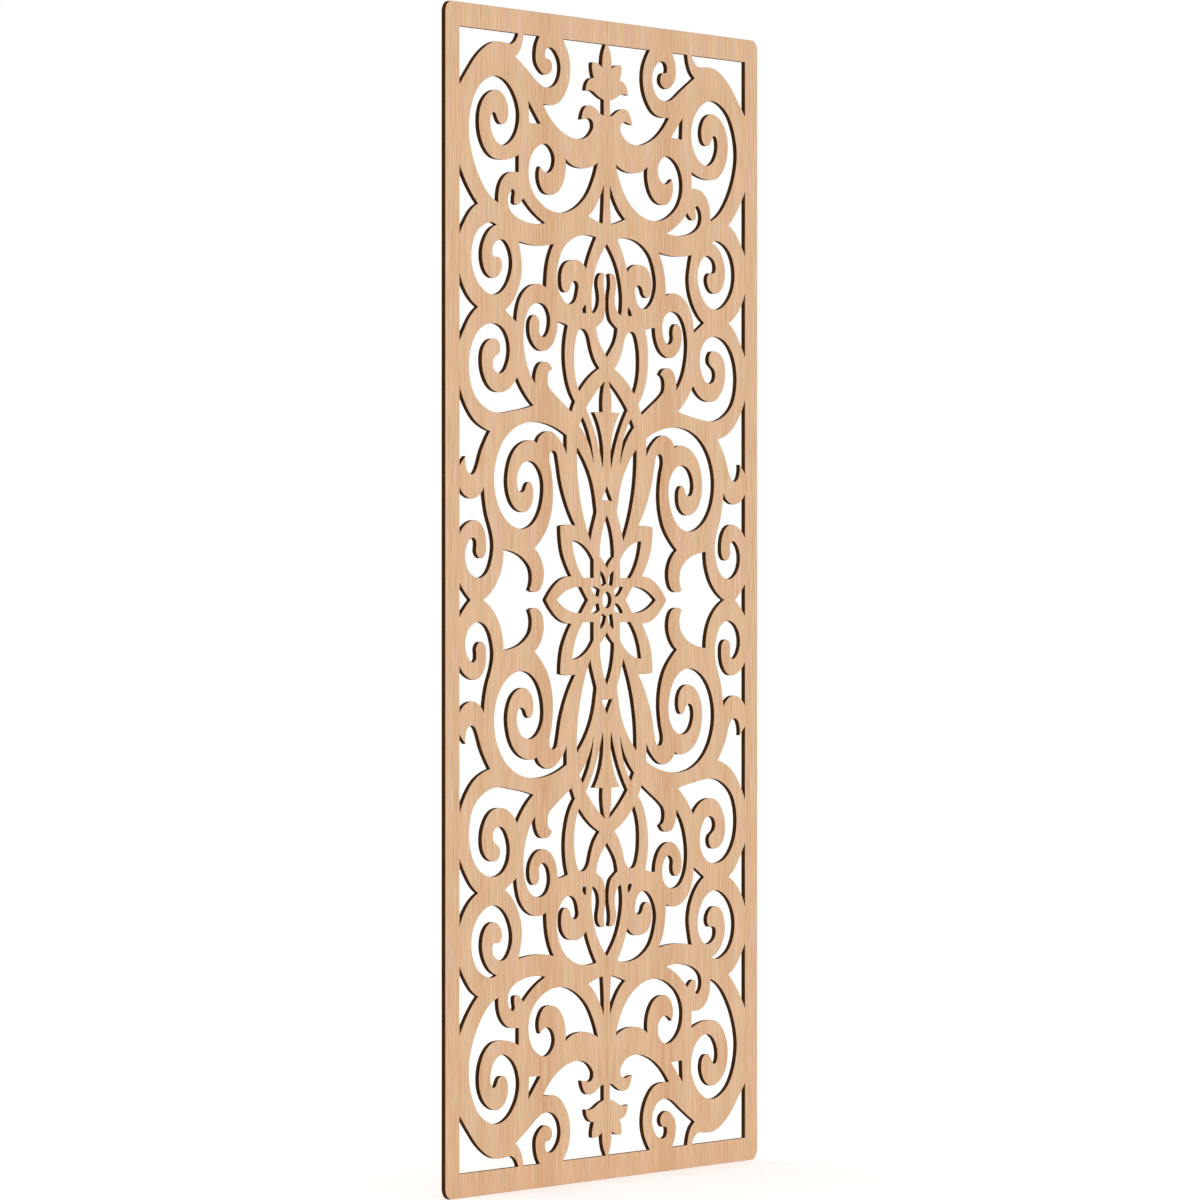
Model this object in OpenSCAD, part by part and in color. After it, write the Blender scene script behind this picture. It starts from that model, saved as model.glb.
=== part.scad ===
// Fretwork wall panel: one thin board, veneered on both faces and cut
// through with a scrollwork ornament that is the same in all four quarters.
// The front faces -Y, +Z is up, and the origin is the middle of the back face.

/* [Panel] */
// Width over the outside of the border
panel_w = 797; // [700:1:1200]
// Height over the outside of the border
panel_h = 1626; // [1200:1:2400]
// Thickness of the finished board, both veneers included
panel_t = 6.35; // [4:0.05:19]
// Radius of the four outer corners
corner_r = 15.5; // [1:0.5:30]

/* [Border] */
// Width of the two upright sides of the border
stile_w = 34; // [20:0.5:60]
// Width of the top and the bottom of the border
rail_w = 33; // [20:0.5:60]

/* [Rosette] */
// Radius of the hole in the middle of the rosette
eye_r = 11.5; // [8:0.5:14]

/* [Veneer] */
// Thickness of each veneer
veneer_t = 0.6; // [0.4:0.1:1.5]

/* [Hidden] */
// Inner edges of the border round the ornament as it was drawn, from the centre
side = 364.5;
top = 780;
drawn = [side, top];
// Width of a full leaf of veneer in that drawing; the first seam is on the centre line
seam_step = 156;
// Leaves on one face, the two at the sides cut narrower by the edge of the board
leaves = 6;
// Half of the opening in the border, and how far it stretches the drawing
open = [panel_w / 2 - stile_w, panel_h / 2 - rail_w];
fit = [open.x / drawn.x, open.y / drawn.y];
// Most that a curve may turn within one facet, and most that it may bow away from it
facet_turn = 18;
facet_bow = 0.4;
$fa = 6;
$fs = 0.5;

// Smooth curves. A stretch is a list of points that one smooth curve runs
// through. An outline is a list of rows: the first row is the point where it
// starts, and every other row is a stretch that carries on from the row
// before it, with a sharp corner between the two. A straight line closes an
// outline that doesn't end where it starts.

function unit(v) = v / norm(v);
function turn(u, v) = acos(max(-1, min(1, u * v)));
function flip(t, along) = 2 * (t * along) * along - t;

// Direction of the circle through a, b and c as it passes b
function through(a, b, c) =
    let (u = b - a, v = c - b)
    unit(u / (u * u) + v / (v * v));

// Direction at point i of a stretch; an end leaves on the same arc as its neighbour
function heading(s, i) =
    let (last = len(s) - 1)
    last == 1 ? unit(s[1] - s[0])
    : i == 0 ? flip(through(s[0], s[1], s[2]), unit(s[1] - s[0]))
    : i == last ? flip(through(s[i - 2], s[i - 1], s[i]), unit(s[i] - s[i - 1]))
    : through(s[i - 1], s[i], s[i + 1]);

function bezier(a, b, c, d, k) =
    let (m = 1 - k)
    m * m * m * a + 3 * m * m * k * b + 3 * m * k * k * c + k * k * k * d;

// Points from p up to q, leaving along t and arriving along w, without q itself
function span(p, q, t, w) =
    let (
        way = unit(q - p),
        turned = turn(t, way) + turn(way, w),
        bow = norm(q - p) * turned * PI / 180 / 8,
        steps = max(1, ceil(turned / facet_turn), ceil(sqrt(bow / facet_bow))),
        reach = 2 * norm(q - p) / (3 * (1 + (t * way + way * w) / 2))
    )
    [for (i = [0 : steps - 1]) bezier(p, p + reach * t, q - reach * w, q, i / steps)];

function stretch(s) =
    [for (i = [0 : len(s) - 2]) each span(s[i], s[i + 1], heading(s, i), heading(s, i + 1))];

function end_of(row) = row[len(row) - 1];

function outline(rows) =
    let (start = rows[0][0], finish = end_of(rows[len(rows) - 1]))
    [
        for (i = [1 : len(rows) - 1]) each stretch([end_of(rows[i - 1]), each rows[i]]),
        if (finish != start) finish
    ];

// One cut-out of the drawing, stretched with the opening in the border
module cut(rows) {
    polygon([for (p = outline(rows)) [p.x * fit.x, p.y * fit.y]]);
}

// The cut-outs of the top right quarter, in millimetres from the centre.

// Rosette: a ring with four pairs of darts, and a leaf to each side
module rosette_cuts() {
    cut([[[2, 23]], [[7, 34], [17, 41]], [[16, 30], [13, 19]]]);
    cut([[[18, 14]], [[28, 18], [41, 18]], [[33, 9], [22, 4]]]);
    cut([[[48, 0]], [[56, 8], [65, 18]], [[87, 17], [126, 0]]]);
}

// Calyx over the rosette: a drop and a point on the centre line, two leaves
module calyx_cuts() {
    cut([[[0, 119]], [[16, 82], [18, 61]], [[8, 54], [0, 45]]]);
    cut([[[0, 160]], [[7, 149], [14, 139]], [[0, 140]]]);
    cut([[[34, 31]], [[34, 56]], [[50, 71], [88, 83]], [[82, 61], [60, 31]]]);
    cut([
        [[42, 83]],
        [[66, 136], [76, 213]],
        [[54, 191], [39, 168], [31, 146], [27, 121]],
        [[35, 103], [42, 83]],
    ]);
}

// Flutes: two narrow slots that fan out above the calyx
module flute_cuts() {
    cut([
        [[5, 307]],
        [[28, 291], [53, 268]],
        [[22, 217], [11, 185]],
        [[12, 224], [33, 263]],
        [[11, 264]],
        [[11, 286], [5, 307]],
    ]);
    cut([[[62, 256]], [[70, 244]], [[56, 231], [43, 213], [34, 190]], [[48, 237], [62, 256]]]);
}

// Bud: petals round two tongues, with a slit between them
module bud_cuts() {
    cut([
        [[0, 500]],
        [[12, 488], [26, 469], [35, 447], [39, 425], [36, 401]],
        [[25, 408], [20, 423], [22, 434], [24, 442], [20, 455], [13, 459], [6, 457]],
        [[8, 449], [4, 420], [5, 406], [10, 393], [18, 387], [27, 382]],
        [[21, 364], [11, 352], [0, 341]],
    ]);
    cut([
        [[19, 325]],
        [[32, 338], [41, 355], [47, 370], [53, 376], [72, 376], [78, 366], [83, 340], [80, 312], [70, 291]],
        [[53, 306], [19, 325]],
    ]);
    cut([[[54, 413]], [[60, 409], [64, 401]], [[53, 401]]]);
    cut([
        [[27, 508]],
        [
            [44, 510], [90, 502], [112, 487], [124, 464], [127, 449], [122, 431], [111, 418], [95, 412],
            [81, 417], [74, 430], [73, 440], [82, 445], [90, 441], [95, 432], [104, 428], [111, 431],
            [116, 445], [113, 460], [101, 471], [86, 474], [73, 474], [53, 463],
        ],
        [[44, 482], [27, 508]],
    ]);
}

// Great volute beside the calyx, and the opening round its foot
module great_volute_cuts() {
    cut([
        [[102, 229]],
        [
            [178, 246], [206, 244], [238, 233], [263, 213], [281, 165], [275, 138], [241, 104], [214, 98],
            [189, 104], [161, 145], [162, 168], [194, 192], [213, 187], [224, 172], [225, 159], [220, 150],
            [207, 151], [201, 160], [194, 163], [187, 157], [185, 146], [189, 132], [198, 124], [227, 125],
            [249, 158], [247, 179], [237, 200], [200, 220], [184, 220], [176, 217],
        ],
        [[170, 226], [161, 231], [150, 234], [117, 221], [102, 203]],
    ]);
    cut([
        [[182, 71]],
        [
            [165, 84], [150, 100], [140, 121], [136, 156], [141, 182], [145, 196],
            [142, 205], [129, 205], [124, 194], [118, 170], [80, 104],
        ],
        [[98, 105], [118, 103]],
        [[117, 85], [111, 63], [102, 48], [90, 33]],
        [[116, 29], [138, 16], [154, 0]],
        [[308, 0]],
        [[289, 10], [270, 29], [258, 69]],
        [[240, 67], [204, 54], [192, 43], [195, 14]],
        [[182, 11], [168, 15], [160, 28], [169, 61], [182, 71]],
    ]);
}

// Middle volute and the pair of scrolls beside it
module middle_volute_cuts() {
    cut([
        [[185, 269]],
        [[207, 286], [225, 307]],
        [
            [266, 285], [288, 289], [304, 304], [311, 326], [308, 343], [283, 358], [272, 356], [268, 340],
            [275, 335], [281, 331], [284, 324], [281, 316], [268, 311], [245, 332], [247, 360], [261, 374],
            [283, 379], [308, 374], [341, 310], [330, 282], [309, 266], [290, 259], [230, 261], [185, 269],
        ],
    ]);
    cut([
        [[81, 277]],
        [[94, 293], [103, 315], [99, 382]],
        [[111, 385], [124, 386]],
        [
            [128, 368], [138, 354], [180, 350], [195, 375], [191, 389], [181, 394], [173, 390],
            [170, 380], [171, 372], [160, 364], [150, 369], [144, 381], [144, 393], [153, 406],
            [171, 411], [190, 406], [203, 391], [209, 367], [206, 341], [196, 317], [180, 299],
        ],
        [[178, 316], [168, 328], [155, 330], [146, 328], [138, 320]],
        [[145, 317], [149, 302], [131, 285], [111, 274], [90, 262]],
    ]);
}

// Round volute by the border and the bell-shaped opening beside it
module round_volute_cuts() {
    cut([
        [[275, 514]],
        [
            [286, 517], [303, 514], [322, 503], [336, 466], [310, 426], [284, 418], [242, 445], [237, 465],
            [244, 484], [257, 494], [268, 494], [285, 479], [284, 473], [277, 470], [269, 470], [263, 465],
            [262, 457], [268, 447], [300, 447], [309, 462], [298, 501], [275, 514],
        ],
    ]);
    cut([
        [[134, 494]],
        [[178, 490], [221, 494]],
        [[216, 477], [213, 461], [229, 418], [254, 398]],
        [[240, 390], [227, 383]],
        [[225, 396], [218, 414], [185, 436], [153, 433]],
        [[152, 450], [146, 474], [134, 494]],
    ]);
}

// Heart scroll over the bud, with its foot and the sickle under it
module heart_cuts() {
    cut([
        [[23, 613]],
        [[49, 604], [66, 603], [85, 605], [105, 614]],
        [[109, 583], [121, 569], [145, 562], [159, 565], [169, 576], [172, 588], [168, 600]],
        [
            [160, 594], [152, 592], [141, 595], [132, 610], [145, 629], [176, 626], [195, 580],
            [185, 563], [166, 549], [122, 538], [72, 551], [49, 568], [35, 587], [23, 613],
        ],
    ]);
    cut([[[8, 583]], [[20, 562], [33, 547], [47, 537]], [[30, 532], [11, 528]], [[9, 548], [8, 583]]]);
    cut([
        [[155, 522]],
        [
            [206, 522], [231, 529], [244, 539], [247, 551], [242, 561],
            [235, 565], [231, 562], [232, 554], [232, 546],
        ],
        [[224, 544], [216, 548], [210, 554]],
        [[178, 532], [155, 522]],
    ]);
}

// Corner volute, the spandrel behind it and the point beside it
module corner_volute_cuts() {
    cut([
        [[221, 613]],
        [
            [266, 604], [285, 606], [318, 653], [314, 674], [287, 697], [274, 699], [249, 682], [247, 665],
            [252, 656], [269, 655], [274, 661], [277, 666], [282, 668], [287, 665], [290, 656], [287, 642],
            [262, 624], [243, 629], [220, 662], [238, 703], [276, 718], [303, 711], [322, 697], [334, 678],
            [342, 640], [336, 613], [321, 584], [288, 552], [271, 545],
        ],
        [[271, 554], [267, 569], [246, 587], [235, 589], [221, 589]],
    ]);
    cut([
        [[222, top]],
        [[242, 764], [252, 765], [279, 765], [322, 744], [342, 725], [side, 701]],
        [[side, top]],
    ]);
    cut([[[167, 659]], [[183, 675], [197, 689]], [[196, 672], [195, 658]]]);
}

// Lily that hangs from the top border, and the scroll beside it
module lily_cuts() {
    cut([
        [[3, top]],
        [[9, 769], [12, 747]],
        [[28, 753], [37, 753]],
        [[38, 748], [37, 741], [33, 731]],
        [[48, 726], [54, 712]],
        [[36, 712], [22, 706], [8, 702]],
        [[8, 680]],
        [[16, 682], [27, 688], [43, 692], [55, 689], [62, 680], [65, 671]],
        [
            [57, 672], [48, 674], [36, 669], [35, 662], [40, 655],
            [73, 643], [101, 647], [148, 673], [161, 687],
        ],
        [[146, 686], [118, 693], [106, 704], [97, 718], [97, 760], [103, 770], [111, top]],
    ]);
    cut([
        [[169, top]],
        [[179, 758], [178, 744], [171, 735], [151, 728], [138, 740], [141, 747], [148, 750], [154, 750]],
        [
            [153, 763], [145, 766], [124, 756], [118, 745], [125, 720],
            [150, 710], [167, 713], [190, 726], [211, 738], [229, 748],
        ],
        [[217, 758], [212, 768], [209, top]],
    ]);
}

// Openings along the upright border, between the scrolls that touch it
module border_cuts() {
    cut([[[338, 0]], [[351, 10], [side, 23]], [[side, 0]]]);
    cut([
        [[side, 153]],
        [[351, 142], [319, 142], [306, 154]],
        [
            [297, 114], [287, 93], [283, 76], [287, 55], [299, 37], [318, 30], [336, 35],
            [349, 50], [343, 79], [332, 85], [325, 81], [324, 75], [325, 67], [312, 57],
            [304, 61], [300, 78], [316, 106], [348, 104], [side, 90],
        ],
    ]);
    cut([
        [[side, 290]],
        [[349, 265], [328, 245], [309, 236], [291, 231]],
        [[301, 219], [313, 201], [323, 180], [329, 173], [344, 174], [349, 182], [350, 196]],
        [[356, 191], [side, 183]],
    ]);
    cut([[[side, 445]], [[351, 422], [320, 400]], [[336, 389], [350, 373], [side, 352]]]);
    cut([[[side, 592]], [[351, 572], [320, 541]], [[335, 533], [350, 518], [side, 498]]]);
}

module quarter_cuts() {
    rosette_cuts();
    calyx_cuts();
    flute_cuts();
    bud_cuts();
    great_volute_cuts();
    middle_volute_cuts();
    round_volute_cuts();
    heart_cuts();
    corner_volute_cuts();
    lily_cuts();
    border_cuts();
}

// The plain board before it is cut, with its rounded corners
module board() {
    square([panel_w - 2 * corner_r, panel_h], center = true);
    square([panel_w, panel_h - 2 * corner_r], center = true);
    for (x = [-1, 1], z = [-1, 1]) {
        translate([x * (panel_w / 2 - corner_r), z * (panel_h / 2 - corner_r)]) circle(r = corner_r);
    }
}

module all_cuts() {
    for (x = [0, 1], z = [0, 1]) mirror([x, 0]) mirror([0, z]) quarter_cuts();
}

// The whole board seen from the front
module fretwork() {
    difference() {
        board();
        all_cuts();
        circle(r = eye_r);
    }
}

// A layer of the board that starts at depth y in front of the back face
module layer(y, thick) {
    translate([0, -y, 0]) rotate([90, 0, 0]) linear_extrude(thick) children();
}

// One leaf of veneer, counted from the left. The seams cross the ornament at
// the same places whatever the size of the panel.
module leaf(number) {
    leaf_w = seam_step * fit.x;
    intersection() {
        fretwork();
        translate([(number - 1 - leaves / 2) * leaf_w, -panel_h]) square([leaf_w, 2 * panel_h]);
    }
}

module core() {
    color("saddlebrown") layer(veneer_t, panel_t - 2 * veneer_t) fretwork();
}

module front_leaf(number) {
    color("burlywood") layer(panel_t - veneer_t, veneer_t) leaf(number);
}

module back_leaf(number) {
    color("tan") layer(0, veneer_t) leaf(number);
}

core();
for (i = [1 : leaves]) front_leaf(i);
for (i = [1 : leaves]) back_leaf(i);
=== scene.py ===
import math

import bmesh
import bpy
from mathutils import Matrix, Vector


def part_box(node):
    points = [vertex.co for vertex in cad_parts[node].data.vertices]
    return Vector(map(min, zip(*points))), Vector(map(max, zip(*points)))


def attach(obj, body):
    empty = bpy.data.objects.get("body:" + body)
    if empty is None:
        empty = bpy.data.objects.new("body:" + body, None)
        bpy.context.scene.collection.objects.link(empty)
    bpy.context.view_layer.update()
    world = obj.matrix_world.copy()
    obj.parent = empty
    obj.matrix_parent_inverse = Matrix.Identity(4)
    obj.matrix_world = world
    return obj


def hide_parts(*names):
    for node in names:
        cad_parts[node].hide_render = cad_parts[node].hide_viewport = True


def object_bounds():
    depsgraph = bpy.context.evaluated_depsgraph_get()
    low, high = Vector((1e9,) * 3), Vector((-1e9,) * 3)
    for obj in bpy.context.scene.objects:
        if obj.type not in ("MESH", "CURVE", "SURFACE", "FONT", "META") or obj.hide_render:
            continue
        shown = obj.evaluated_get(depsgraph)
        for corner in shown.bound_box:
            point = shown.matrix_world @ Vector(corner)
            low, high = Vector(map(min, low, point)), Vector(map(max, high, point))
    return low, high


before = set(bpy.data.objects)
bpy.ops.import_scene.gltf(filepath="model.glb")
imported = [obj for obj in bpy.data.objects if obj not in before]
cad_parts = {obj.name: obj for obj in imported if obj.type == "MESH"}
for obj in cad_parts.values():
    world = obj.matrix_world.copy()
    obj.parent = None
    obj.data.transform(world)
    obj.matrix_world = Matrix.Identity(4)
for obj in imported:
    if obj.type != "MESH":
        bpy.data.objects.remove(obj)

# A fretwork wall panel: a thin board veneered on both faces and laser-cut
# right through. It faces -Y with +Z up, and its back lies in the plane y = 0.
# The cut lines are taken from the core's own solid and drawn smooth again,
# and each layer of the board is laid up from them.

MM = 0.001
cad_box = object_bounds()
scene = bpy.context.scene

# The lay-up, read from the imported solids
core_low, core_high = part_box("core")
panel_thick = -cad_box[0].y
veneer_thick = -core_high.y
core_thick = core_high.y - core_low.y
leaf_low, leaf_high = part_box("front_leaf_4")
seam_step = leaf_high.x - leaf_low.x
leaves = sum(name.startswith("front_leaf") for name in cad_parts)

# Fine shape of the cut edges
ARRIS = 0.2 * MM                  # the bevel round the outer face of a veneer
CORNER_TURN = math.radians(34)    # facets that turn further than this meet in a corner
FACET_BOW_MOST = 0.8 * MM         # a facet that would bow further than this is a straight edge
FINE_TURN = math.radians(9)       # the most that one step of a smooth curve turns
FINE_BOW = 0.03 * MM              # about the most that such a step bows
MITRE_LEAST = 0.35                # keeps the arris from running far into a sharp corner
HARD_TURN = math.radians(30)      # faces that turn further than this meet in a hard edge

# Distances that count as none
RIM_TOUCH = 0.001 * MM
LAYER_WELD = 0.002 * MM
SEAM_TOUCH = 0.0005 * MM


# Nodes, for the layers and the finishes alike

class Wire:
    """The value that leaves a node, so that sums on it are written as sums."""

    def __init__(self, tree, socket):
        self.tree, self.socket = tree, socket

    def math(self, operation, first, second=0.0):
        return add_node(self.tree, "ShaderNodeMath", {"operation": operation}, {0: first, 1: second})

    def at_least(self, least):
        return self.math("MAXIMUM", self, least)

    def at_most(self, most):
        return self.math("MINIMUM", self, most)

    def __add__(self, other):
        return self.math("ADD", self, other)

    def __sub__(self, other):
        return self.math("SUBTRACT", self, other)

    def __rsub__(self, other):
        return self.math("SUBTRACT", other, self)

    def __mul__(self, other):
        return self.math("MULTIPLY", self, other)

    def __truediv__(self, other):
        return self.math("DIVIDE", self, other)

    def __rtruediv__(self, other):
        return self.math("DIVIDE", other, self)

    def __abs__(self):
        return self.math("ABSOLUTE", self)

    def __lt__(self, other):
        return self.math("LESS_THAN", self, other)

    __radd__ = __add__
    __rmul__ = __mul__


def add_node(tree, kind, settings=None, inputs=None, output=0):
    """Adds a node, sets it, feeds its sockets with values or wires, and gives one of its outputs."""
    node = tree.nodes.new(kind)
    for name, value in (settings or {}).items():
        if name == "stops":
            ramp = node.color_ramp
            while len(ramp.elements) < len(value):
                ramp.elements.new(0.5)
            for element, (place, shade) in zip(ramp.elements, value):
                element.position = place
                element.color = (shade, shade, shade, 1)
        else:
            setattr(node, name, value)
    for key, value in (inputs or {}).items():
        several = isinstance(value, tuple) and isinstance(value[0], Wire)
        for item in value if several else (value,):
            if isinstance(item, Wire):
                tree.links.new(item.socket, node.inputs[key])
            else:
                node.inputs[key].default_value = item
    return Wire(tree, node.outputs[output]) if node.outputs else None


# The cut lines

def rim_loops(name):
    """Loops of points round the board and each cut-out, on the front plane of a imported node."""
    shell = bmesh.new()
    shell.from_mesh(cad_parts[name].data)
    bmesh.ops.remove_doubles(shell, verts=shell.verts, dist=RIM_TOUCH)
    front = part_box(name)[0].y
    beside = {}
    for edge in shell.edges:
        on_front = all(abs(v.co.y - front) < RIM_TOUCH for v in edge.verts)
        facing = sorted(abs(face.normal.y) for face in edge.link_faces)
        if on_front and facing[0] < 0.5 < facing[-1]:    # between the front and a cut wall
            a, b = edge.verts
            beside.setdefault(a, []).append(b)
            beside.setdefault(b, []).append(a)
    loops = []
    while beside:
        first = here = next(iter(beside))
        loop = []
        while here in beside:
            loop.append(Vector((here.co.x, here.co.z)))
            here = next((v for v in beside.pop(here) if v in beside), first)
        loops.append(loop)
    shell.free()
    return loops


def area_of(loop):
    """Area inside a loop, below zero where it runs clockwise."""
    return sum(a.x * b.y - b.x * a.y for a, b in zip(loop, loop[1:] + loop[:1])) / 2


def wood_on_the_left(loops):
    """The loops, each turned so that the wood lies on its left."""
    rim = max(loops, key=lambda loop: abs(area_of(loop)))
    return [loop if (area_of(loop) > 0) == (loop is rim) else loop[::-1] for loop in loops]


def through(a, b, c):
    """Direction of the circle through a, b and c as it passes b."""
    back, on = b - a, c - b
    return (back / back.length_squared + on / on.length_squared).normalized()


def flipped(direction, chord):
    """The direction at the other end of an arc that stands on a chord."""
    return 2 * direction.dot(chord) * chord - direction


def bow_of(chord, leave, arrive):
    """How far a curve along a chord turns, and how far it bows away from the chord."""
    way = chord.normalized()
    turned = leave.angle(way, 0) + way.angle(arrive, 0)
    return turned, chord.length * turned / 8


def drawn_smooth(loop):
    """The loop with its facets made curves again. Corners and straight edges stay as they are."""
    after = loop[1:] + loop[:1]
    chord = [b - a for a, b in zip(loop, after)]
    way = [c.normalized() for c in chord]
    count = len(loop)
    corner = [way[i - 1].angle(way[i], 0) > CORNER_TURN for i in range(count)]
    tangent = [through(loop[i - 1], loop[i], after[i]) for i in range(count)]

    def ends(i):
        """The directions in which the curve over facet i leaves and arrives."""
        j = (i + 1) % count
        if corner[i] and corner[j]:
            return way[i], way[i]
        if corner[i]:
            return flipped(tangent[j], way[i]), tangent[j]
        if corner[j]:
            return tangent[i], flipped(tangent[i], way[i])
        return tangent[i], tangent[j]

    straight = [bow_of(chord[i], *ends(i))[1] > FACET_BOW_MOST for i in range(count)]
    for i in range(count):    # straight edges meet in a corner, and a curve leaves along them
        if straight[i - 1] and straight[i]:
            corner[i] = True
        elif straight[i - 1] or straight[i]:
            tangent[i] = way[i] if straight[i] else way[i - 1]

    points = []
    for i in range(count):
        leave, arrive = ends(i)
        turned, bow = bow_of(chord[i], leave, arrive)
        steps = max(1, math.ceil(turned / FINE_TURN), math.ceil(math.sqrt(bow / FINE_BOW)))
        lean = (leave.dot(way[i]) + way[i].dot(arrive)) / 2
        reach = 2 * chord[i].length / (3 * (1 + lean))    # keeps the curve close to a circle
        a, b, c, d = loop[i], loop[i] + reach * leave, after[i] - reach * arrive, after[i]
        for step in range(steps):
            k = step / steps
            m = 1 - k
            points.append(m * m * m * a + 3 * m * m * k * b + 3 * m * k * k * c + k * k * k * d)
    return points


def insets(loop):
    """For each point, the step into the wood that moves both of its edges by one."""
    after = loop[1:] + loop[:1]
    left = [Vector((a.y - b.y, b.x - a.x)).normalized() for a, b in zip(loop, after)]
    steps = []
    for before, here in zip(left[-1:] + left[:-1], left):
        middle = (before + here).normalized()
        steps.append(middle / max(MITRE_LEAST, middle.dot(here)))
    return steps


def cut_line_mesh(loops):
    """All loops as the edges of one flat mesh that carries each point's inset."""
    points, edges, steps = [], [], []
    for loop in loops:
        first, count = len(points), len(loop)
        points += [(p.x, p.y, 0) for p in loop]
        edges += [(first + i, first + (i + 1) % count) for i in range(count)]
        steps += [value for step in insets(loop) for value in (step.x, step.y, 0)]
    mesh = bpy.data.meshes.new("cut_lines")
    mesh.from_pydata(points, edges, [])
    mesh.attributes.new("inset", "FLOAT_VECTOR", "POINT").data.foreach_set("vector", steps)
    return mesh


# The layers

def layer_tree():
    """A layer of the board: its faces, its cut walls, and a fine arris round its outer face."""
    tree = bpy.data.node_groups.new("board_layer", "GeometryNodeTree")
    sockets = [("Cut lines", "Geometry"), ("Thickness", "Float"), ("Arris", "Float"),
               ("Face finish", "Material"), ("Cut finish", "Material"), ("Glued finish", "Material")]
    for name, kind in sockets:
        tree.interface.new_socket(name, in_out="INPUT", socket_type="NodeSocket" + kind)
    tree.interface.new_socket("Layer", in_out="OUTPUT", socket_type="NodeSocketGeometry")
    entry = tree.nodes.new("NodeGroupInput")
    given = {name: Wire(tree, entry.outputs[name]) for name, _ in sockets}
    lines, thick, chamfer = given["Cut lines"], given["Thickness"], given["Arris"]

    inset = add_node(tree, "GeometryNodeInputNamedAttribute", {"data_type": "FLOAT_VECTOR"},
                     {"Name": "inset"})
    inward = add_node(tree, "ShaderNodeVectorMath", {"operation": "SCALE"},
                      {0: inset, "Scale": chamfer})

    def filled(edges):
        """The wood inside the rim, with its cut-outs left open."""
        curve = add_node(tree, "GeometryNodeMeshToCurve", {}, {"Mesh": edges})
        return add_node(tree, "GeometryNodeFillCurve", {"mode": "TRIANGLES"}, {"Curve": curve})

    def raised(edges, height, only=True):
        """Walls that stand on edges, and which of their edges are the upper ones."""
        upward = add_node(tree, "ShaderNodeCombineXYZ", {}, {"Z": height})
        walls = add_node(tree, "GeometryNodeExtrudeMesh", {"mode": "EDGES"},
                         {"Mesh": edges, "Selection": only, "Offset": upward, "Offset Scale": 1.0})
        return walls, Wire(tree, walls.socket.node.outputs["Top"])

    rim = add_node(tree, "GeometryNodeSetPosition", {}, {"Geometry": lines, "Offset": inward})
    height = add_node(tree, "ShaderNodeCombineXYZ", {}, {"Z": thick})
    face = add_node(tree, "GeometryNodeSetPosition", {}, {"Geometry": filled(rim), "Offset": height})
    glued = add_node(tree, "GeometryNodeFlipFaces", {}, {"Mesh": filled(lines)})
    wall, wall_top = raised(lines, thick - chamfer)
    slope, slope_top = raised(wall, chamfer, wall_top)
    slope = add_node(tree, "GeometryNodeSetPosition", {},
                     {"Geometry": slope, "Selection": slope_top, "Offset": inward})
    parts = add_node(tree, "GeometryNodeJoinGeometry", {}, {"Geometry": (face, glued, slope)})
    whole = add_node(tree, "GeometryNodeMergeByDistance", {},
                     {"Geometry": parts, "Distance": LAYER_WELD})
    whole = add_node(tree, "GeometryNodeRealizeInstances", {}, {"Geometry": whole})

    normal = add_node(tree, "GeometryNodeInputNormal")
    upward = add_node(tree, "ShaderNodeSeparateXYZ", {}, {0: normal}, "Z")
    flat = 0.9    # a face lies flat when its normal points more than this up or down
    finishes = [("Face finish", True), ("Cut finish", abs(upward) < flat),
                ("Glued finish", upward < -flat)]
    for finish, where in finishes:
        whole = add_node(tree, "GeometryNodeSetMaterial", {},
                         {"Geometry": whole, "Selection": where, "Material": given[finish]})
    leave = tree.nodes.new("NodeGroupOutput")
    tree.links.new(whole.socket, leave.inputs["Layer"])
    return tree


def lay_up(tree, lines, inputs, place):
    """One whole layer as a plain closed mesh, moved to its place in the board."""
    carrier = bpy.data.objects.new("layer", lines)
    scene.collection.objects.link(carrier)
    step = carrier.modifiers.new("layer", "NODES")
    step.node_group = tree
    for item in tree.interface.items_tree:
        if item.in_out == "INPUT" and item.name in inputs:
            step[item.identifier] = inputs[item.name]
    bpy.context.view_layer.update()
    sight = bpy.context.evaluated_depsgraph_get()
    mesh = bpy.data.meshes.new_from_object(carrier.evaluated_get(sight))
    bpy.data.objects.remove(carrier)
    if mesh.materials[0] is None:    # a slot for faces without a finish, and there are none
        mesh.materials.pop(index=0)
    mesh.transform(place)
    shell = bmesh.new()
    shell.from_mesh(mesh)
    bmesh.ops.recalc_face_normals(shell, faces=shell.faces)
    shell.to_mesh(mesh)
    shell.free()
    return mesh


def cut_at_seams(mesh, left, right):
    """The part of a layer between two seams, closed again along them."""
    leaf = mesh.copy()
    shell = bmesh.new()
    shell.from_mesh(leaf)
    for place, away in ((left, -1), (right, 1)):
        everything = shell.verts[:] + shell.edges[:] + shell.faces[:]
        bmesh.ops.bisect_plane(shell, geom=everything, dist=SEAM_TOUCH, plane_co=(place, 0, 0),
                               plane_no=(away, 0, 0), clear_outer=True)
        open_edges = [edge for edge in shell.edges if edge.is_boundary]
        if open_edges:
            bmesh.ops.holes_fill(shell, edges=open_edges, sides=0)
    bmesh.ops.recalc_face_normals(shell, faces=shell.faces)
    shell.to_mesh(leaf)
    shell.free()
    return leaf


def add_piece(name, mesh):
    """Puts a finished piece of the board in the place of the node of the same name."""
    mesh.polygons.foreach_set("use_smooth", [True] * len(mesh.polygons))
    mesh.set_sharp_from_angle(angle=HARD_TURN)
    mesh.name = name + "_laid"
    piece = bpy.data.objects.new(name + "_laid", mesh)
    scene.collection.objects.link(piece)
    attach(piece, "root")
    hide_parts(name)


# The finishes, with the colours of each from dark to pale

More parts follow.
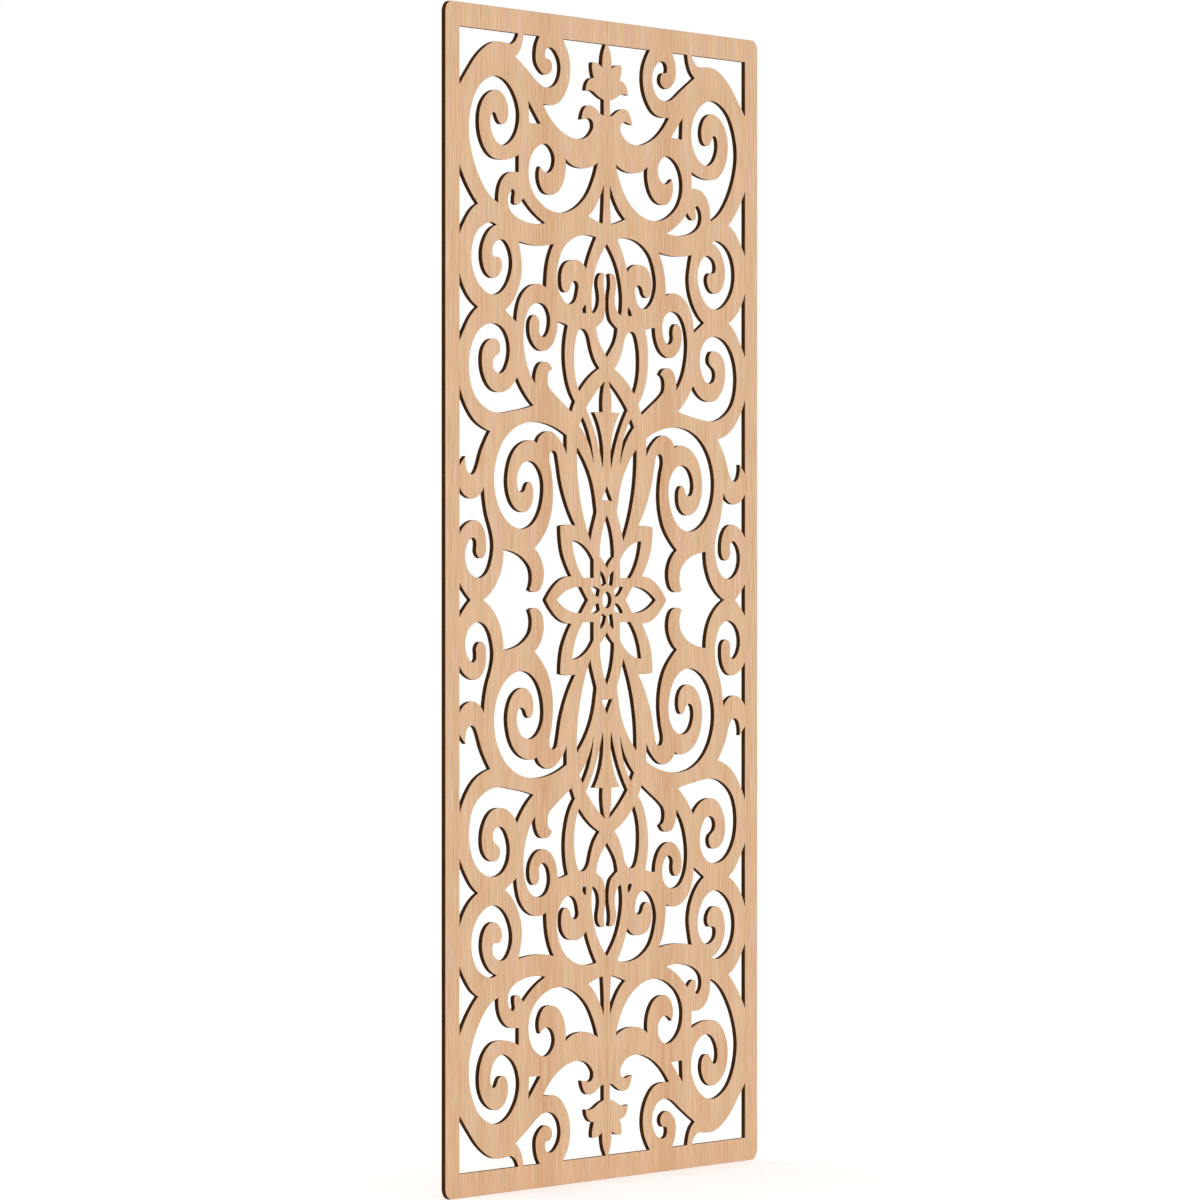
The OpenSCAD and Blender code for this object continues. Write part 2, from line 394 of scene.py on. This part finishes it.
CHAR = ((0.026, 0.009, 0.002, 1), (0.092, 0.035, 0.008, 1))
BARE_FIBRE = ((0.16, 0.09, 0.045, 1), (0.30, 0.18, 0.10, 1))
FACE_WOOD = {"dark": (0.657, 0.329, 0.142, 1), "honey": (0.857, 0.587, 0.30, 1),
             "straw": (0.74, 0.627, 0.435, 1), "rose": (0.98, 0.55, 0.435, 1)}
BACK_WOOD = {"dark": (0.646, 0.325, 0.14, 1), "honey": (0.843, 0.579, 0.296, 1),
             "straw": (0.728, 0.618, 0.43, 1), "rose": (0.963, 0.543, 0.43, 1)}

# The patterns of the grain: how often each repeats in a metre across the
# leaf, through it and along it, then its detail and its roughness
WANDER = ((3, 1, 1.6), 1.0, 0.5)
BANDS = ((140, 1, 2.5), 2.0, 0.5)
STREAKS = ((330, 1, 16), 3.0, 0.65)
FIBRES = ((1500, 1, 25), 2.0, 0.6)
PORES = ((4200, 1, 190), 1.0, 0.5)
SAP = ((210, 1, 8), 2.0, 0.6)
RESIN = ((260, 1, 7), 2.0, 0.6)

# The patterns of the charred walls, in the same way, and how much each
# changes the tone
STRIATIONS = ((1400, 60, 1400), 2.0, 0.6)
PATCHES = ((40, 40, 40), 2.0, 0.5)
STRIATION_SHARE, PATCH_SHARE, CHAR_TONE = 0.55, 0.9, -0.25

# How light the figure of a leaf is from its inner seam to its outer seam
LEAF_FIGURE = [(0.0, 0.25), (0.03, 0.6), (0.2, 1.0), (0.38, 0.5), (0.64, 1.0), (0.8, 0.55), (0.9, 0.2),
               (1.0, 0.1)]

# How far the grain strays from its line, how much each pattern changes the
# tone, where a pore begins and how deep it is, and how sharply the hues part
GRAIN_STRAY = 4 * MM
MIDDLE_TONE = 0.33
FIGURE_SHARE, BAND_SHARE, STREAK_SHARE, FIBRE_SHARE = 0.36, 0.5, 1.95, 0.95
PORE_LEVEL, PORE_DEPTH = 0.36, 2.0
HUE_CONTRAST = 3.0

# How far along the patterns the sap, the resin and the back veneer are taken,
# so that each of them has streaks of its own
SAP_SHIFT, RESIN_SHIFT, BACK_SHIFT = 3.0, 5.0, 7.0

# The fine relief of the finishes: its depth, and how strongly it shows
GRAIN_RELIEF = (0.05 * MM, 0.35)
CHAR_RELIEF = (0.08 * MM, 0.4)


def new_finish(name):
    """A new material with an empty tree, and that tree."""
    material = bpy.data.materials.new(name)
    material.use_nodes = True
    material.node_tree.nodes.clear()
    return material, material.node_tree


def finish_with(tree, inputs):
    """Ends a material's tree in its surface."""
    surface = add_node(tree, "ShaderNodeBsdfPrincipled", {}, inputs)
    add_node(tree, "ShaderNodeOutputMaterial", {}, {"Surface": surface})


def blend_colour(tree, factor, first, second):
    """The first colour where the factor is nought, and the second where it is one."""
    return add_node(tree, "ShaderNodeMix", {"data_type": "RGBA"}, {0: factor, 6: first, 7: second}, 2)


def place_in_panel(tree):
    """Where a point of the surface lies across, through and up the panel."""
    place = add_node(tree, "ShaderNodeTexCoord", output="Object")
    return [add_node(tree, "ShaderNodeSeparateXYZ", {}, {0: place}, axis) for axis in "XYZ"]


def noise(tree, place, pattern):
    """One of the patterns above, at a place given by three wires."""
    repeats, detail, roughness = pattern
    spread = add_node(tree, "ShaderNodeCombineXYZ", {},
                      {axis: wire * often for axis, wire, often in zip("XYZ", place, repeats)})
    return add_node(tree, "ShaderNodeTexNoise", {},
                    {"Vector": spread, "Scale": 1.0, "Detail": detail, "Roughness": roughness})


def relief(tree, height, depth, strength):
    """The normal of a surface with fine relief of some depth."""
    return add_node(tree, "ShaderNodeBump", {},
                    {"Strength": strength, "Distance": depth, "Height": height})


def veneer_finish(name, wood, shift):
    """Pale straight-grained veneer in book-matched leaves, under a thin satin lacquer. The shift is
    how far along the patterns its grain is taken from."""
    material, tree = new_finish(name)
    across, depth, up = place_in_panel(tree)
    along = up + shift
    stray = (noise(tree, (across, depth, along), WANDER) - 0.5) * GRAIN_STRAY
    matched = across.math("PINGPONG", across + stray, seam_step)
    leaf = (matched, depth, along)

    figure = add_node(tree, "ShaderNodeValToRGB", {"stops": LEAF_FIGURE}, {0: matched / seam_step})
    bands = noise(tree, leaf, BANDS) - 0.5
    streaks = noise(tree, leaf, STREAKS) - 0.5
    fibres = noise(tree, leaf, FIBRES) - 0.5
    pits = (PORE_LEVEL - noise(tree, leaf, PORES)).at_least(0.0) * PORE_DEPTH
    tone = (figure * FIGURE_SHARE + MIDDLE_TONE + bands * BAND_SHARE + streaks * STREAK_SHARE
            + fibres * FIBRE_SHARE - pits)

    sap = noise(tree, (matched, depth, along + SAP_SHIFT), SAP) - 0.5
    resin = noise(tree, (matched, depth, along + RESIN_SHIFT), RESIN) - 0.5
    pale = blend_colour(tree, sap * HUE_CONTRAST + 0.5, wood["rose"], wood["straw"])
    light = blend_colour(tree, resin * HUE_CONTRAST + 0.5, pale, wood["honey"])
    finish_with(tree, {"Base Color": blend_colour(tree, tone, wood["dark"], light),
                       "Roughness": 0.46 + fibres * 0.12 + pits * 0.3,
                       "Normal": relief(tree, fibres * 0.5 - pits, *GRAIN_RELIEF),
                       "Specular IOR Level": 0.35})
    return material


def charred_finish():
    """The dark walls that the laser leaves, with fine striations from face to face."""
    material, tree = new_finish("charred_cut")
    place = place_in_panel(tree)
    lines = noise(tree, place, STRIATIONS)
    tone = lines * STRIATION_SHARE + noise(tree, place, PATCHES) * PATCH_SHARE + CHAR_TONE
    finish_with(tree, {"Base Color": blend_colour(tree, tone, *CHAR),
                       "Roughness": 0.72 + lines * 0.2,
                       "Normal": relief(tree, lines, *CHAR_RELIEF),
                       "Specular IOR Level": 0.05})
    return material


def core_finish():
    """The bare fibre of the core, under the veneers."""
    material, tree = new_finish("bare_core")
    place = add_node(tree, "ShaderNodeTexCoord", output="Object")
    fleck = add_node(tree, "ShaderNodeTexNoise", {}, {"Vector": place, "Scale": 900.0, "Detail": 3.0})
    finish_with(tree, {"Base Color": blend_colour(tree, fleck, *BARE_FIBRE), "Roughness": 0.85})
    return material


# The board

charred = charred_finish()
bare_core = core_finish()
face_veneer = veneer_finish("lacquered_face", FACE_WOOD, 0.0)
back_veneer = veneer_finish("lacquered_back", BACK_WOOD, BACK_SHIFT)

cut_lines = cut_line_mesh([drawn_smooth(loop) for loop in wood_on_the_left(rim_loops("core"))])
board_layer = layer_tree()

upright = Matrix.Rotation(math.radians(90), 4, "X")
to_core = Matrix.Translation((0, core_high.y, 0)) @ upright
to_front = Matrix.Translation((0, core_low.y, 0)) @ upright
to_back = Matrix.Translation((0, core_high.y, 0)) @ Matrix.Scale(-1, 4, (0, 1, 0)) @ upright

core_mesh = lay_up(board_layer, cut_lines, {
    "Thickness": core_thick, "Arris": 0.0,
    "Face finish": bare_core, "Cut finish": charred, "Glued finish": bare_core}, to_core)
add_piece("core", core_mesh)

for side, slot, finish, place in (("front", "face_veneer", face_veneer, to_front),
                                  ("back", "back_veneer", back_veneer, to_back)):
    whole = lay_up(board_layer, cut_lines, {
        "Thickness": veneer_thick, "Arris": ARRIS,
        "Face finish": finish, "Cut finish": charred, "Glued finish": bare_core}, place)
    for number in range(1, leaves + 1):
        left = (number - 1 - leaves / 2) * seam_step
        leaf = cut_at_seams(whole, left, left + seam_step)
        add_piece("%s_leaf_%d" % (side, number), leaf)
    bpy.data.meshes.remove(whole)

# The camera: from the left, level with the middle of the panel, and aimed a
# little to the left of it

YAW = math.radians(56.68)
AIM = math.radians(0.060)
DISTANCE = 9.30
FOCAL_LENGTH, PICTURE_WIDTH = 6621, 1200    # in pixels of the photograph

lens = bpy.data.cameras.new("camera")
lens.sensor_width = 36
lens.lens = lens.sensor_width * FOCAL_LENGTH / PICTURE_WIDTH
lens.clip_end = 200
camera = bpy.data.objects.new("camera", lens)
to_eye = Vector((-math.sin(YAW), -math.cos(YAW), 0))
camera.location = to_eye * DISTANCE + Vector((0, -panel_thick, 0))
camera.rotation_euler = (math.radians(90), 0, -(YAW - AIM))
scene.collection.objects.link(camera)
scene.camera = camera

# The studio: a white room that lights the panel evenly, three soft lamps
# that look at the middle of the panel, and a pale floor

ROOM_LIGHT = 0.76
LAMPS = [("front_lamp", (-2.6, -4.2, 0.8), 3.0, 31),    # name, place, width, power
         ("side_lamp", (3.4, -3.4, 0.6), 2.5, 14),
         ("back_lamp", (1.5, 4.5, 0.9), 3.0, 46)]
FLOOR_HALF = 60             # half the floor's width
FLOOR_DROP = 0.1 * MM       # how far the floor lies under the panel
FLOOR_COLOUR = (0.9, 0.9, 0.9, 1)
FLOOR_WHITE = 0.36    # what the floor gives off to be as white as the room where it is looked at
SHADOW_ROOM, SHADOW_REACH = 0.05, 2.5    # how much less at the panel, to show its shadow
FOOT_LIGHT, FOOT_REACH = 0.18, 1.0    # the soft light that the floor sends up round its foot


def seen_directly(tree):
    """One where the camera, a gloss or a glass looks at a surface, nought for its soft light."""
    path = {name: add_node(tree, "ShaderNodeLightPath", output=name)
            for name in ("Is Camera Ray", "Is Glossy Ray", "Is Transmission Ray")}
    total = path["Is Camera Ray"] + path["Is Glossy Ray"] + path["Is Transmission Ray"]
    return total.at_most(1.0)


def soft_lamp(name, place, width, power):
    """A square lamp that looks at the middle of the panel."""
    lamp = bpy.data.lights.new(name, "AREA")
    lamp.shape = "SQUARE"
    lamp.size = width
    lamp.energy = power
    stand = bpy.data.objects.new(name, lamp)
    stand.location = place
    stand.rotation_euler = (-Vector(place)).to_track_quat("-Z", "Y").to_euler()
    scene.collection.objects.link(stand)


def floor_glow(tree):
    """What the floor gives off. It is white where it is looked at, and round the panel's foot it also
    sends up soft light, so that the panel is as even from top to bottom as in the photograph."""
    spot = add_node(tree, "ShaderNodeTexCoord", output="Object")
    reach = add_node(tree, "ShaderNodeVectorMath", {"operation": "DISTANCE"},
                     {0: spot, 1: (0, 0, cad_box[0].z)}, "Value")
    near = 1.0 - (reach / SHADOW_REACH).at_most(1.0)
    foot = 1.0 - (reach / FOOT_REACH).at_most(1.0)
    seen = seen_directly(tree)
    return seen * (FLOOR_WHITE - near * SHADOW_ROOM) + (1.0 - seen) * foot * FOOT_LIGHT


scene.view_settings.view_transform = "Standard"
world = bpy.data.worlds.new("white_room")
world.use_nodes = True
world.node_tree.nodes.clear()
scene.world = world
level = seen_directly(world.node_tree) * (1 - ROOM_LIGHT) + ROOM_LIGHT
room = add_node(world.node_tree, "ShaderNodeBackground", {}, {"Color": (1, 1, 1, 1), "Strength": level})
add_node(world.node_tree, "ShaderNodeOutputWorld", {}, {"Surface": room})

for lamp in LAMPS:
    soft_lamp(*lamp)

floor_mesh = bpy.data.meshes.new("floor")
plate = bmesh.new()
bmesh.ops.create_grid(plate, x_segments=1, y_segments=1, size=FLOOR_HALF)
plate.to_mesh(floor_mesh)
plate.free()
floor_mesh.transform(Matrix.Translation((0, 0, cad_box[0].z - FLOOR_DROP)))
floor_finish, floor_tree = new_finish("pale_floor")
matt = add_node(floor_tree, "ShaderNodeBsdfDiffuse", {}, {"Color": FLOOR_COLOUR})
glow = add_node(floor_tree, "ShaderNodeEmission", {}, {"Strength": floor_glow(floor_tree)})
both = add_node(floor_tree, "ShaderNodeAddShader", {}, {0: matt, 1: glow})
add_node(floor_tree, "ShaderNodeOutputMaterial", {}, {"Surface": both})
floor_mesh.materials.append(floor_finish)
floor = bpy.data.objects.new("floor", floor_mesh)
scene.collection.objects.link(floor)
